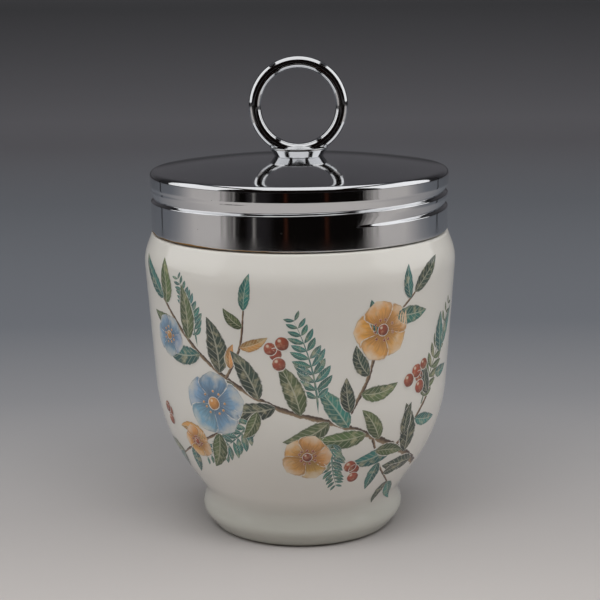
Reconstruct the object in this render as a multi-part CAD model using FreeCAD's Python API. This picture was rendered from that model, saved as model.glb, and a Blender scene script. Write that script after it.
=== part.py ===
"""Porcelain egg coddler: a footed cup with a screw neck, a pressed metal screw lid with a
lifting ring on top, and the seal between them.

Frame: millimetres, +Z up. The origin is the centre of the foot's resting plane and the Z axis
is the axis of the cup and of the lid. The ring stands in the XZ plane, so -Y is the front.
The lid is shown screwed right down.
"""
import FreeCAD, Part
import math
import os

from FreeCAD import Vector

# ---------------------------------------------------------------- driving dimensions
# cup
wall = 3.8                   # porcelain thickness of the side, shoulder and neck
floor_thickness = 4.2        # porcelain between the foot recess and the inside
foot_rest_r = 20.4           # outer edge of the flat ring that the cup stands on
foot_rest_width = 2.2        # width of that ring
foot_recess = 2.3            # depth of the hollow inside the foot ring
foot_r = 23.25               # corner of the foot's outward swell
foot_swell_z = 3.7
waist_r = 21.9               # corner of the hollow line between foot and belly
waist_z = 8.2
belly_r = 32.3               # corner where the sloping belly turns into the side
belly_z = 23.7
ledge_z = 67.8               # flat ledge round the neck, just under the lid's rim
shoulder_r = 34.9            # corner where the side turns in to the shoulder
shoulder_drop = 5.0          # ledge down to that corner
neck_height = 11.4           # ledge to mouth
foot_edge_round = 1.6
foot_swell_round = 3.0
waist_round = 4.0
belly_round = 38.0
shoulder_round = 10.0
ledge_round = 0.9
neck_root_round = 0.5
mouth_round = 1.2
recess_round = 1.6
floor_round = 9.0
throat_round = 5.0           # inside, where the neck opens into the shoulder

# lid
lid_r = 33.0                 # outside of the skirt
sheet = 0.45                 # thickness of the pressed sheet
rim_gap = 0.3                # rim of the closed lid to the ledge
crown_sphere_r = 200.0       # gentle dome of the crown
crown_edge_round = 1.2
crown_swell = 0.2            # how far the top band stands proud of the skirt
swell_run = 0.6              # height over which it swells
swell_drop = 2.0             # top of that run to the start of the crown's edge round
swell_round = 0.8

# screw thread: a groove rolled into the skirt, and a ridge on the porcelain neck
pitch = 3.0
groove_depth = 0.65
groove_half_width = 0.95
rib_bite = 0.18              # how far the pushed-in metal's section reaches into the skirt
lid_thread_turns = 1.35
lid_thread_start_deg = -73.0  # about +Z from +X, where the lower end of the groove begins
lid_thread_start = 5.5       # height of that end above the rim
ridge_turns = 1.5
ridge_root_half = 0.85       # half width at the neck
ridge_crest_half = 0.3       # half width where the rounded crest begins
ridge_crest_round = 0.15     # height of the rounded crest
ridge_fade_deg = 36.0        # the ridge rises and fades over this angle at its ends
ridge_run_out = 0.1          # how far its faded end lies below the neck
thread_step_deg = 12.0
seam_lead_deg = 30.0         # skirt's seam, ahead of the thread's middle, where one turn crosses it
thread_wall_clearance = 0.2  # ridge crest to the inside of the skirt
thread_core_clearance = 0.9  # crest of the rolled groove to the neck
ridge_top_margin = 1.9       # middle of the ridge's upper end to the mouth

# seal
seal_gap = 0.1               # washer to the mouth, and washer to the crown
washer_edge_thickness = 1.9
washer_inset = 0.7           # outer edge of the neck to the outer edge of the washer

# ring and its boss
boss_r = 6.4
boss_land_r = 5.75           # flat top, inside the bevel
boss_bevel = 0.37            # height of the bevel, from the flat top to the widest edge
boss_foot_r = 5.3            # where the boss, narrowing downwards, meets the crown
boss_height = 2.0            # top of the crown to the top of the boss
boss_edge_round = 0.12
ring_wire_r = 1.38
ring_mean_r = 9.6
ring_sink = 1.98             # how deep the ring's wire sits in the boss
spigot_r = 2.0
spigot_clearance = 0.03
backing_r = 5.0
backing_thickness = 0.8
peened_r = 3.0
peened_height = 0.9

# ---------------------------------------------------------------- sizes that follow from them
shoulder_z = ledge_z - shoulder_drop
rim_z = ledge_z + rim_gap
mouth_z = ledge_z + neck_height
skirt_inside_r = lid_r - sheet
ridge_r = skirt_inside_r - thread_wall_clearance
groove_crest_r = lid_r - groove_depth - sheet
neck_r = groove_crest_r - thread_core_clearance
mouth_r = neck_r - wall
washer_r = neck_r - washer_inset
washer_base_z = mouth_z + seal_gap
washer_edge_z = washer_base_z + washer_edge_thickness
crown_inside_r = crown_sphere_r - sheet
crown_centre_z = washer_edge_z + seal_gap - math.sqrt(crown_inside_r ** 2 - washer_r ** 2)
crown_top_z = crown_centre_z + crown_sphere_r
boss_top_z = crown_top_z + boss_height
ring_centre_z = boss_top_z - ring_sink + ring_wire_r + ring_mean_r
lid_thread_start_z = rim_z + lid_thread_start
ridge_end_z = mouth_z - ridge_top_margin
ridge_start_z = ridge_end_z - ridge_turns * pitch
ridge_start_deg = lid_thread_start_deg + 360.0 * (ridge_start_z - lid_thread_start_z - pitch / 2.0) / pitch


# ---------------------------------------------------------------- drawing helpers
def at(r, z):
    """A point of a half section: radius r, height z."""
    return Vector(r, 0, z)


def unit(a, b):
    """Direction from one (r, z) point to another."""
    length = math.hypot(b[0] - a[0], b[1] - a[1])
    return (b[0] - a[0]) / length, (b[1] - a[1]) / length


def rounded(corners):
    """Edges of an outline through (r, z, radius) corners, each one rounded by a tangent arc."""
    edges = []
    last = at(corners[0][0], corners[0][1])
    for before, corner, after in zip(corners, corners[1:], corners[2:]):
        back = unit(corner, before)
        ahead = unit(corner, after)
        half = 0.5 * math.acos(max(-1.0, min(1.0, back[0] * ahead[0] + back[1] * ahead[1])))
        radius = corner[2]
        reach = radius / math.tan(half)
        to_middle = radius / math.sin(half) - radius
        bisector = unit((0, 0), (back[0] + ahead[0], back[1] + ahead[1]))
        start = at(corner[0] + back[0] * reach, corner[1] + back[1] * reach)
        middle = at(corner[0] + bisector[0] * to_middle, corner[1] + bisector[1] * to_middle)
        end = at(corner[0] + ahead[0] * reach, corner[1] + ahead[1] * reach)
        if last.distanceToPoint(start) > 1e-6:
            edges.append(Part.makeLine(last, start))
        edges.append(Part.Arc(start, middle, end).toShape())
        last = end
    edges.append(Part.makeLine(last, at(corners[-1][0], corners[-1][1])))
    return edges


def arc_about(centre, radius, start_deg, end_deg):
    """Arc about an (r, z) centre. Angles are measured from the radius towards +Z."""
    points = []
    for degrees in (start_deg, 0.5 * (start_deg + end_deg), end_deg):
        turn = math.radians(degrees)
        points.append(at(centre[0] + radius * math.cos(turn), centre[1] + radius * math.sin(turn)))
    return Part.Arc(*points).toShape()


def revolved(edges):
    """Solid of revolution of a closed half section."""
    face = Part.Face(Part.Wire(Part.__sortEdges__(edges)))
    return face.revolve(Vector(0, 0, 0), Vector(0, 0, 1), 360)


def line(r0, z0, r1, z1):
    return Part.makeLine(at(r0, z0), at(r1, z1))


def thread_solid(section, start_deg, start_z, turns):
    """Solid through sections set along a helix. section(share) gives the edges of one section
    round height 0, where share runs from 0 at a faded end to 1 along the full thread."""
    full = turns * 360.0
    steps = int(math.ceil(full / thread_step_deg))
    wires = []
    for step in range(steps + 1):
        run = full * step / steps
        share = min(1.0, run / ridge_fade_deg, (full - run) / ridge_fade_deg)
        share = share * share * (3.0 - 2.0 * share)
        wire = Part.Wire(section(share))
        wire.translate(Vector(0, 0, start_z + pitch * run / 360.0))
        wire.rotate(Vector(0, 0, 0), Vector(0, 0, 1), start_deg + run)
        wires.append(wire)
    return Part.makeLoft(wires, True, False)


# ---------------------------------------------------------------- cup
def cup_outside():
    """Outline from the inner edge of the foot ring up to the mouth's middle."""
    foot_inner_r = foot_rest_r - foot_rest_width
    return rounded([
        (foot_inner_r, 0, 0),
        (foot_rest_r, 0, foot_edge_round),
        (foot_r, foot_swell_z, foot_swell_round),
        (waist_r, waist_z, waist_round),
        (belly_r, belly_z, belly_round),
        (shoulder_r, shoulder_z, shoulder_round),
        (lid_r, ledge_z, ledge_round),
        (neck_r, ledge_z, neck_root_round),
        (neck_r, mouth_z, mouth_round),
        (neck_r - wall / 2.0, mouth_z, 0),
    ])


def inset_corner(before, corner, after, depth):
    """Corner of the outline that runs depth inside the line before-corner-after."""
    d1 = unit(before, corner)
    d2 = unit(corner, after)
    p1 = (corner[0] - depth * d1[1], corner[1] + depth * d1[0])
    p2 = (corner[0] - depth * d2[1], corner[1] + depth * d2[0])
    cross = d1[0] * d2[1] - d1[1] * d2[0]
    t = ((p2[0] - p1[0]) * d2[1] - (p2[1] - p1[1]) * d2[0]) / cross
    return p1[0] + d1[0] * t, p1[1] + d1[1] * t


def cup_inside():
    """Outline from the mouth's middle down to the middle of the floor."""
    waist = (waist_r, waist_z)
    belly = (belly_r, belly_z)
    shoulder = (shoulder_r, shoulder_z)
    ledge = (lid_r, ledge_z)
    floor_z = foot_recess + floor_thickness
    inner_belly = inset_corner(waist, belly, shoulder, wall)
    inner_shoulder = inset_corner(belly, shoulder, ledge, wall)
    slope = unit(waist, belly)
    floor_r = inner_belly[0] - (inner_belly[1] - floor_z) * slope[0] / slope[1]
    inner_round = belly_round - wall
    return rounded([
        (neck_r - wall / 2.0, mouth_z, 0),
        (mouth_r, mouth_z, mouth_round),
        (mouth_r, ledge_z, throat_round),
        (inner_shoulder[0], inner_shoulder[1], shoulder_round - wall),
        (inner_belly[0], inner_belly[1], inner_round),
        (floor_r, floor_z, floor_round),
        (0, floor_z, 0),
    ])


def ridge_section(share):
    """Section of the porcelain ridge: a rounded tooth that sinks into the neck as it fades."""
    sink = (ridge_r - neck_r + ridge_run_out) * (1.0 - share)
    root = neck_r - ridge_crest_round - sink
    crest = ridge_r - sink
    flank = crest - ridge_crest_round
    return [
        line(root, -ridge_root_half, flank, -ridge_crest_half),
        Part.Arc(at(flank, -ridge_crest_half), at(crest, 0), at(flank, ridge_crest_half)).toShape(),
        line(flank, ridge_crest_half, root, ridge_root_half),
        line(root, ridge_root_half, root, -ridge_root_half),
    ]


def porcelain_cup():
    """One fired piece: foot ring, belly, shoulder and screw neck."""
    foot_inner_r = foot_rest_r - foot_rest_width
    recess = rounded([
        (0, foot_recess, 0),
        (foot_inner_r, foot_recess, recess_round),
        (foot_inner_r, 0, 0),
    ])
    axis = [line(0, foot_recess, 0, foot_recess + floor_thickness)]
    body = revolved(cup_outside() + cup_inside() + recess + axis)
    ridge = thread_solid(ridge_section, ridge_start_deg, ridge_start_z, ridge_turns)
    return body.fuse(ridge).removeSplitter()


# ---------------------------------------------------------------- lid
def crown_round_centre():
    """Centre of the round between the top band and the crown, in the half section."""
    r = lid_r + crown_swell - crown_edge_round
    z = crown_centre_z + math.sqrt((crown_sphere_r - crown_edge_round) ** 2 - r ** 2)
    return r, z


def lid_outline(inset):
    """Skirt, top band, edge round and crown, at a depth of inset inside the lid's outside."""
    centre = crown_round_centre()
    band_z = centre[1] - swell_drop
    skirt_r = lid_r - inset
    band_r = lid_r + crown_swell - inset
    lean = math.degrees(math.atan2(centre[1] - crown_centre_z, centre[0]))
    skirt = rounded([
        (skirt_r, rim_z + sheet / 2.0, 0),
        (skirt_r, band_z - swell_run, swell_round + inset),
        (band_r, band_z, swell_round - inset),
        (band_r, centre[1], 0),
    ])
    edge = arc_about(centre, crown_edge_round - inset, 0, lean)
    crown = arc_about((0, crown_centre_z), crown_sphere_r - inset, lean, 90)
    return skirt + [edge, crown]


def bowl_section(thicker, mouth):
    """Round-bottomed section of the rolled groove, thickened all round by thicker and cut off
    at the radius called mouth."""
    arc_r = (groove_half_width ** 2 + groove_depth ** 2) / (2.0 * groove_depth) + thicker
    bottom = lid_r - groove_depth - thicker
    half = math.sqrt(arc_r ** 2 - (bottom + arc_r - mouth) ** 2)
    return [
        Part.Arc(at(mouth, -half), at(bottom, 0), at(mouth, half)).toShape(),
        line(mouth, half, mouth, -half),
    ]


def rolled_thread(thicker, mouth):
    """A bowl section carried along the lid's thread, the same to its ends."""
    return thread_solid(lambda share: bowl_section(thicker, mouth),
                        lid_thread_start_deg, lid_thread_start_z, lid_thread_turns)


def lid_shell():
    """Pressed lid with its rolled thread, turned rim and the hole for the boss's spigot."""
    outside = lid_outline(0.0)
    inside = lid_outline(sheet)
    rim = arc_about((lid_r - sheet / 2.0, rim_z + sheet / 2.0), sheet / 2.0, 180, 360)
    axis = line(0, crown_top_z - sheet, 0, crown_top_z)
    shell = revolved(outside + inside + [rim, axis])
    thread_middle_deg = lid_thread_start_deg + 360.0 * lid_thread_turns / 2.0
    shell.rotate(at(0, 0), Vector(0, 0, 1), thread_middle_deg - seam_lead_deg)
    rib = rolled_thread(sheet, skirt_inside_r + rib_bite)
    groove = rolled_thread(0.0, lid_r + sheet)
    hole = Part.makeCylinder(spigot_r + spigot_clearance, 4 * sheet, at(0, crown_top_z - 2 * sheet))
    return shell.fuse(rib).cut(groove).cut(hole)


def crown_z(r, inset):
    """Height of the crown at a radius, inset below its outside."""
    return crown_centre_z + math.sqrt((crown_sphere_r - inset) ** 2 - r ** 2)


def crown_arc(inset, r0, r1):
    """Edge along the crown between two radii, inset below its outside."""
    middle = 0.5 * (r0 + r1)
    points = [at(r, crown_z(r, inset)) for r in (r0, middle, r1)]
    return Part.Arc(*points).toShape()


def sealing_washer():
    """Soft washer between the mouth and the crown. Its top follows the crown."""
    inset = sheet + seal_gap
    return revolved([
        crown_arc(inset, mouth_r, washer_r),
        line(washer_r, crown_z(washer_r, inset), washer_r, washer_base_z),
        line(washer_r, washer_base_z, mouth_r, washer_base_z),
        line(mouth_r, washer_base_z, mouth_r, crown_z(mouth_r, inset)),
    ])


# ---------------------------------------------------------------- ring and boss
def lifting_ring():
    """Plain round wire ring, closed, standing upright across the boss."""
    return Part.makeTorus(ring_mean_r, ring_wire_r, at(0, ring_centre_z), Vector(0, 1, 0))


def ring_boss():
    """Bevelled boss under the ring, narrowing to the crown, its spigot riveted over inside."""
    inside_z = crown_z(spigot_r, sheet) - backing_thickness
    outside = rounded([
        (0, boss_top_z, 0),
        (boss_land_r, boss_top_z, boss_edge_round),
        (boss_r, boss_top_z - boss_bevel, boss_edge_round),
        (boss_foot_r, crown_z(boss_foot_r, 0), 0),
    ])
    cap_r = (peened_r ** 2 + peened_height ** 2) / (2.0 * peened_height)
    cap_lean = math.degrees(math.acos(peened_r / cap_r))
    cap_centre_z = inside_z - peened_height + cap_r
    boss = revolved(outside + [
        crown_arc(0, boss_foot_r, spigot_r),
        line(spigot_r, crown_z(spigot_r, 0), spigot_r, inside_z),
        line(spigot_r, inside_z, peened_r, inside_z),
        arc_about((0, cap_centre_z), cap_r, -cap_lean, -90),
        line(0, inside_z - peened_height, 0, boss_top_z),
    ])
    return boss.cut(lifting_ring())


def backing_washer():
    """Washer under the crown that spreads the riveted end's pull."""
    hole_r = spigot_r + spigot_clearance
    base_z = crown_z(spigot_r, sheet) - backing_thickness
    return revolved([
        crown_arc(sheet, hole_r, backing_r),
        line(backing_r, crown_z(backing_r, sheet), backing_r, base_z),
        line(backing_r, base_z, hole_r, base_z),
        line(hole_r, base_z, hole_r, crown_z(hole_r, sheet)),
    ])


PARTS = {
    "porcelain_cup": porcelain_cup,
    "lid_shell": lid_shell,
    "sealing_washer": sealing_washer,
    "lifting_ring": lifting_ring,
    "ring_boss": ring_boss,
    "backing_washer": backing_washer,
}

os.makedirs("parts", exist_ok=True)
for name, make in PARTS.items():
    shape = make()
    shape.exportStep("parts/" + name + ".step")
    box = shape.BoundBox
    print(name, "solids", len(shape.Solids), "valid", shape.isValid(),
          "volume %.1f" % shape.Volume, "z %.2f to %.2f" % (box.ZMin, box.ZMax))
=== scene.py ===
"""Looks of a porcelain egg coddler: glazed cup, printed spray of flowers, plated screw lid.

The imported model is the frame. Each operator below makes one piece, or one group of like
pieces, in metres and in the frame's own place, and lets it ride on the body that carries it.
"""
import bisect
import math
import random

import bpy
from bpy.props import FloatProperty, FloatVectorProperty, IntProperty, PointerProperty
from mathutils import Matrix, Vector, noise


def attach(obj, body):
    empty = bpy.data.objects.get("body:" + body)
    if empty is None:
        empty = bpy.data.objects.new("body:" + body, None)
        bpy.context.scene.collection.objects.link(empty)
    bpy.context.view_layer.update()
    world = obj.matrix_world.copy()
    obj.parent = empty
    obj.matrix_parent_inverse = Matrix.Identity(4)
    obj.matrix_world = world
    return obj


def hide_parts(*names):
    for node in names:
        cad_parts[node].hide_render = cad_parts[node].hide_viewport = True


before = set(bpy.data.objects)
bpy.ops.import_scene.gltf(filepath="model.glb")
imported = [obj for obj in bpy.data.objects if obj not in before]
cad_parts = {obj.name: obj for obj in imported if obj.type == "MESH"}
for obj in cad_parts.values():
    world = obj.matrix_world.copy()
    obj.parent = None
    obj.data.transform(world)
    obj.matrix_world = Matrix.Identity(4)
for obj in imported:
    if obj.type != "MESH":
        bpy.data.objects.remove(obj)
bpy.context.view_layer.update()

bl_info = {
    "name": "Egg coddler",
    "version": (1, 0, 0),
    "blender": (4, 5, 0),
    "location": "3D View > Sidebar > Coddler",
    "description": "Models a footed porcelain cup with a printed spray and a plated screw lid",
    "category": "Add Mesh",
}

MM = 0.001

# The cup's outline as (radius, height, rounding) corners, and its heights, in millimetres.
SHOULDER_Z = 67.8
LEDGE_R = 31.5                     # on the flat ledge between the shoulder and the neck
NECK_R = 31.0
NECK_TOP = 79.2
LIP_R = 29.1
CUP_SIDE = [
    (18.2, 0, 0), (20.4, 0, 1.6), (23.25, 3.7, 3.0), (21.9, 8.2, 4.0), (32.3, 23.7, 38.0),
    (34.9, 62.8, 10.0), (33.0, SHOULDER_Z, 0.9),
]
CUP_INSIDE = [
    (LIP_R, NECK_TOP, 0), (27.2, NECK_TOP, 1.2), (27.2, 67.8, 5.0), (31.053, 62.225, 6.2),
    (28.576, 24.97, 34.2), (16.183, 6.5, 9.0), (0, 6.5, 0),
]
FOOT_HOLLOW = [(0, 2.3, 0), (18.2, 2.3, 1.6), (18.2, 0, 0)]

# The screw thread, in millimetres.
PITCH = 3.0
RIDGE_START = (-349.0, 72.8, 1.5)  # degrees about +Z, height, turns
RIDGE_SPAN = (68.4, 78.6)          # heights between which the cup's ridge lies
RIDGE_FOOT = 0.95                  # half of the ridge's width at its foot
RIDGE_FLANK = 0.62                 # width of each of its flanks
GROOVE_START = (-73.0, 73.6, 1.35)
GROOVE_SPAN = (72.3, 78.9)         # heights between which the lid's groove lies

# The lid and what stands on it, in millimetres.
SHEET = 0.45                       # thickness of the pressed sheet
RIM_Z = 68.1
SKIRT_R = 33.0
BAND_R = 33.2                      # the skirt's top band
SWELL = (77.6714, 78.2714)         # heights between which the skirt swells out to the band
EDGE_CENTRE = (32.0, 80.2714)      # centre of the round between the skirt and the crown
EDGE_ROUND = 1.2
CROWN_BALL = (-115.9362, 200.0)    # height of the crown's centre of curvature, and its radius
BOSS_TOP = 86.0638
FLANGE_R = 6.4
FLANGE_THICK = 0.45
FLANGE_EDGE = 0.14                 # rounding of its edges
SEAT_R = 5.4                       # where the boss meets the crown
RIVET_R = 2.0
HEAD_R = 3.0                       # the rivet's domed head, inside the lid
HEAD_RISE = 0.9

# How far the films of the print lie above the glaze, in millimetres, so that one covers another.
LIFT = {"twig": 0.02, "leaf": 0.03, "petal": 0.055, "berry": 0.06, "eye": 0.075, "stamen": 0.085}

PAPER_REACH = 30.0                 # metres of paper to each side and to the front


# Plain helpers

def srgb(hexcode):
    """An sRGB hex colour as linear red, green and blue."""
    channels = [int(hexcode[i:i + 2], 16) / 255.0 for i in (1, 3, 5)]
    return tuple(c / 12.92 if c <= 0.04045 else ((c + 0.055) / 1.055) ** 2.4 for c in channels)


def times(tint, *factors):
    """A colour with its channels multiplied."""
    return tuple(c * k for c, k in zip(tint, factors))


def length(name, description, millimetres):
    """A length property, given in millimetres and kept in metres."""
    return FloatProperty(name=name, description=description, default=millimetres * MM,
                         min=0.0, precision=5, unit="LENGTH")


def share(name, description, default):
    """A property from 0 to 1."""
    return FloatProperty(name=name, description=description, default=default,
                         min=0.0, max=1.0, subtype="FACTOR")


def colour(name, description, hexcode):
    """A colour property, given as sRGB hex."""
    return FloatVectorProperty(name=name, description=description, default=srgb(hexcode),
                               size=3, min=0.0, max=1.0, subtype="COLOR")


def power(name, description, default):
    """A lamp's power."""
    return FloatProperty(name=name, description=description, default=default,
                         min=0.0, subtype="POWER")


def smooth(low, high, value):
    """0 below low, 1 above high, and an even S between them."""
    t = min(1.0, max(0.0, (value - low) / (high - low)))
    return t * t * (3.0 - 2.0 * t)


def deselect():
    """Leaves edit mode and deselects all objects."""
    if bpy.context.object is not None and bpy.context.object.mode != "OBJECT":
        bpy.ops.object.mode_set(mode="OBJECT")
    bpy.ops.object.select_all(action="DESELECT")


def named(name):
    """The object that the last operator made, with its name set on it and its mesh."""
    obj = bpy.context.object
    obj.name = name
    obj.data.name = name
    return obj


def unit(a, b):
    """The direction from one point to another."""
    reach = math.hypot(b[0] - a[0], b[1] - a[1])
    return (b[0] - a[0]) / reach, (b[1] - a[1]) / reach


def rounded_line(corners, step):
    """Points, step apart, along a line through (r, z, rounding) corners, in millimetres."""
    shortest = 0.02                # a straight run shorter than this is left out
    facet = math.radians(9.0)      # the coarsest facet of a round
    points = [corners[0][:2]]

    def run_to(target):
        start = points[-1]
        count = max(1, round(math.dist(start, target) / step))
        for i in range(1, count + 1):
            points.append((start[0] + (target[0] - start[0]) * i / count,
                           start[1] + (target[1] - start[1]) * i / count))

    for before, corner, after in zip(corners, corners[1:], corners[2:]):
        back, ahead = unit(corner, before), unit(corner, after)
        half = 0.5 * math.acos(max(-1.0, min(1.0, back[0] * ahead[0] + back[1] * ahead[1])))
        radius = corner[2]
        reach = radius / math.tan(half)
        bisector = unit((0, 0), (back[0] + ahead[0], back[1] + ahead[1]))
        centre = (corner[0] + bisector[0] * radius / math.sin(half),
                  corner[1] + bisector[1] * radius / math.sin(half))
        start = (corner[0] + back[0] * reach, corner[1] + back[1] * reach)
        if math.dist(points[-1], start) > shortest:
            run_to(start)
        sweep = math.pi - 2.0 * half
        turn = back[0] * ahead[1] - back[1] * ahead[0]
        angle = math.atan2(start[1] - centre[1], start[0] - centre[0])
        count = max(3, round(radius * sweep / step), round(sweep / facet))
        for i in range(1, count + 1):
            a = angle - math.copysign(sweep * i / count, turn)
            points.append((centre[0] + radius * math.cos(a), centre[1] + radius * math.sin(a)))
    if math.dist(points[-1], corners[-1][:2]) > shortest:
        run_to(corners[-1][:2])
    return points


def arc(centre, radius, start_deg, end_deg, step):
    """Points along an arc, angles measured from the radius towards +Z."""
    count = max(4, round(abs(math.radians(end_deg - start_deg)) * radius / step))
    turns = [math.radians(start_deg + (end_deg - start_deg) * i / count) for i in range(count + 1)]
    return [(centre[0] + radius * math.cos(a), centre[1] + radius * math.sin(a)) for a in turns]


def spun(name, points, columns, closed=False):
    """Spins a half section, (r, z) points in millimetres, round the Z axis into a closed skin."""
    same_point = 2e-7              # metres
    deselect()
    bpy.ops.mesh.primitive_circle_add(vertices=len(points), radius=MM)
    obj = named(name)
    for vertex, (r, z) in zip(obj.data.vertices, points):
        vertex.co = (r * MM, 0.0, z * MM)
    if not closed:
        # both ends lie on the axis, so the edge between them goes
        bpy.ops.object.mode_set(mode="EDIT")
        bpy.ops.mesh.select_mode(type="EDGE")
        bpy.ops.mesh.select_all(action="DESELECT")
        bpy.ops.object.mode_set(mode="OBJECT")
        for edge in obj.data.edges:
            edge.select = set(edge.vertices) == {0, len(points) - 1}
        bpy.ops.object.mode_set(mode="EDIT")
        bpy.ops.mesh.delete(type="EDGE")
        bpy.ops.object.mode_set(mode="OBJECT")
    spin = obj.modifiers.new("spin", "SCREW")
    spin.steps = spin.render_steps = columns
    spin.use_merge_vertices = True
    spin.merge_threshold = same_point
    bpy.ops.object.modifier_apply(modifier=spin.name)
    bpy.ops.object.mode_set(mode="EDIT")
    bpy.ops.mesh.select_all(action="SELECT")
    bpy.ops.mesh.remove_doubles(threshold=same_point)
    bpy.ops.mesh.normals_make_consistent(inside=False)
    bpy.ops.object.mode_set(mode="OBJECT")
    bpy.ops.object.shade_smooth()
    return obj


def dressed(obj, body, material, slot, *nodes):
    """Gives a finished piece its material and its body, and hides the imported nodes that it
    stands for.
    The slot is not used.
    """
    obj.data.materials.clear()
    obj.data.materials.append(material)
    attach(obj, body)
    if nodes:
        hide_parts(*nodes)


# Sizes and colours that a user would change

class CupSettings(bpy.types.PropertyGroup):
    """The porcelain cup."""
    ridge_height: length("Ridge height", "How far the screw ridge stands out of the neck", 1.35)
    porcelain: colour("Porcelain", "Warm white of the glazed body", "#EDEAE3")
    bare_clay: colour("Bare clay", "Unglazed resting ring under the foot", "#C9BFAE")
    glaze_roughness: share("Glaze roughness", "Blur of reflections in the glaze", 0.09)


class LidSettings(bpy.types.PropertyGroup):
    """The pressed and plated screw lid."""
    groove_depth: length("Groove depth", "Depth of the rolled thread in the skirt", 0.62)
    groove_half_width: length("Groove half width", "Half the width of the rolled thread", 0.95)
    chrome: colour("Chrome", "Reflected tint of the plating", "#DEDFE1")
    brass: colour("Brass", "Sheet metal that shows where the plating is worn", "#A9824A")
    polish: share("Polish", "Roughness of the plating", 0.05)


class RingSettings(bpy.types.PropertyGroup):
    """The lifting ring."""
    wire_radius: length("Wire radius", "Half the thickness of the ring's wire", 1.38)
    mean_radius: length("Ring radius", "Centre of the ring to the middle of its wire", 9.6)
    centre_height: length("Ring height", "Foot's resting plane to the ring's centre", 95.0638)


class PrintSettings(bpy.types.PropertyGroup):
    """The printed spray of leaves, blossoms and berries."""
    teal: colour("Teal leaf", "Blue-green of the narrow leaves", "#2F7F78")
    olive: colour("Olive leaf", "Green of the broad leaves", "#5B7145")
    deep_green: colour("Deep green", "Shaded half of the leaves", "#2C4438")
    ochre: colour("Ochre petal", "Warm blossoms", "#E3A655")
    blue: colour("Blue petal", "Cool blossoms", "#7FA9C4")
    rust: colour("Berry", "Ripe berries", "#A5482B")
    twig: colour("Twig", "Brown of the twigs", "#6B4B38")
    seed: IntProperty(name="Seed", description="Which of the like sprays is drawn", default=7,
                      min=0)


class StageSettings(bpy.types.PropertyGroup):
    """Floor, lamps and camera."""
    near: colour("Near paper", "Pale paper round the object", "#C7C2BF")
    far: colour("Far paper", "Grey paper behind the object", "#7A7D83")
    sweep: colour("Sweep", "Paper where it curves up", "#89888D")
    top: colour("Top of the paper", "Paper at the top of the picture", "#5C5C5F")
    lens: FloatProperty(name="Lens", description="Focal length", default=90.0, min=10.0)
    overhead_power: power("Overhead power", "Large softbox above", 2.1)
    side_power: power("Side power", "Softbox on each side", 3.1)
    fill_power: power("Fill power", "Soft fill from the front", 6.0)


# Materials

def material_tree(name):
    """A new material, its empty node tree, and the piece's own Object coordinates in it."""
    material = bpy.data.materials.new(name)
    material.use_nodes = True
    tree = material.node_tree
    tree.nodes.clear()
    return material, tree, add(tree, "TexCoord").outputs["Object"]


def add(tree, kind, *sockets, stops=(), **settings):
    """Adds a node. Its sockets are given in order, or by name in one dict: a value is set, and
    a node or one of its outputs is linked. The node's own settings follow by name."""
    node = tree.nodes.new("ShaderNode" + kind)
    for key, value in settings.items():
        setattr(node, key, value)
    given = sockets[0] if sockets and isinstance(sockets[0], dict) else dict(enumerate(sockets))
    used = [socket for socket in node.inputs if socket.enabled]
    used = {**dict(enumerate(used)), **{socket.name: socket for socket in used}}
    for key, value in given.items():
        if isinstance(value, bpy.types.Node):
            value = next(output for output in value.outputs if output.enabled)
        if isinstance(value, bpy.types.NodeSocket):
            tree.links.new(value, used[key])
        else:
            used[key].default_value = (*value, 1.0) if used[key].type == "RGBA" else value
    for i, (place, tint) in enumerate(stops):
        ramp = node.color_ramp.elements
        element = ramp[i] if i < len(ramp) else ramp.new(1.0)
        element.position = place
        element.color = (*tint, 1.0)
    return node


def washed(tree, ink, wash, value, low, high, at_low, at_high):
    """Ink with another colour washed over it, as strongly as at_low where value is low, and as
    at_high where it is high."""
    strength = add(tree, "MapRange", value, low, high, at_low, at_high)
    return add(tree, "Mix", strength, ink, wash, data_type="RGBA")


def glaze_bump(tree, place):
    """The faint swimming of a poured and fired glaze: 6 mm waves, a few microns high, so that
    long highlights wander a little."""
    waves = add(tree, "TexNoise", place, 1.0 / (6.0 * MM), 2.0)
    return add(tree, "Bump", {"Height": waves, "Strength": 1.0, "Distance": 0.012 * MM})


def porcelain_tone(tree, place, cup):
    """The body's warm white, a little uneven over 14 mm clouds, and darkened towards the foot
    below 12 mm by painted shade, as the foot lies in shade under the belly. The print fades into
    it."""
    body = cup.porcelain
    cloud = add(tree, "TexNoise", place, 1.0 / (14.0 * MM), 3.0)
    tone = washed(tree, times(body, 0.985, 0.985, 0.975), body, cloud, 0.3, 0.7, 0.0, 1.0)
    height = add(tree, "SeparateXYZ", place).outputs["Z"]
    # painted shade: the body is darkened to about 72 % below 5 mm and blended back to its white by
    # 12 mm, standing in for the shade the foot gets under the belly
    painted_foot_shade = times(body, 0.72, 0.735, 0.71)
    return washed(tree, tone, painted_foot_shade, height, 5.0 * MM, 12.0 * MM, 1.0, 0.0)


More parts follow.
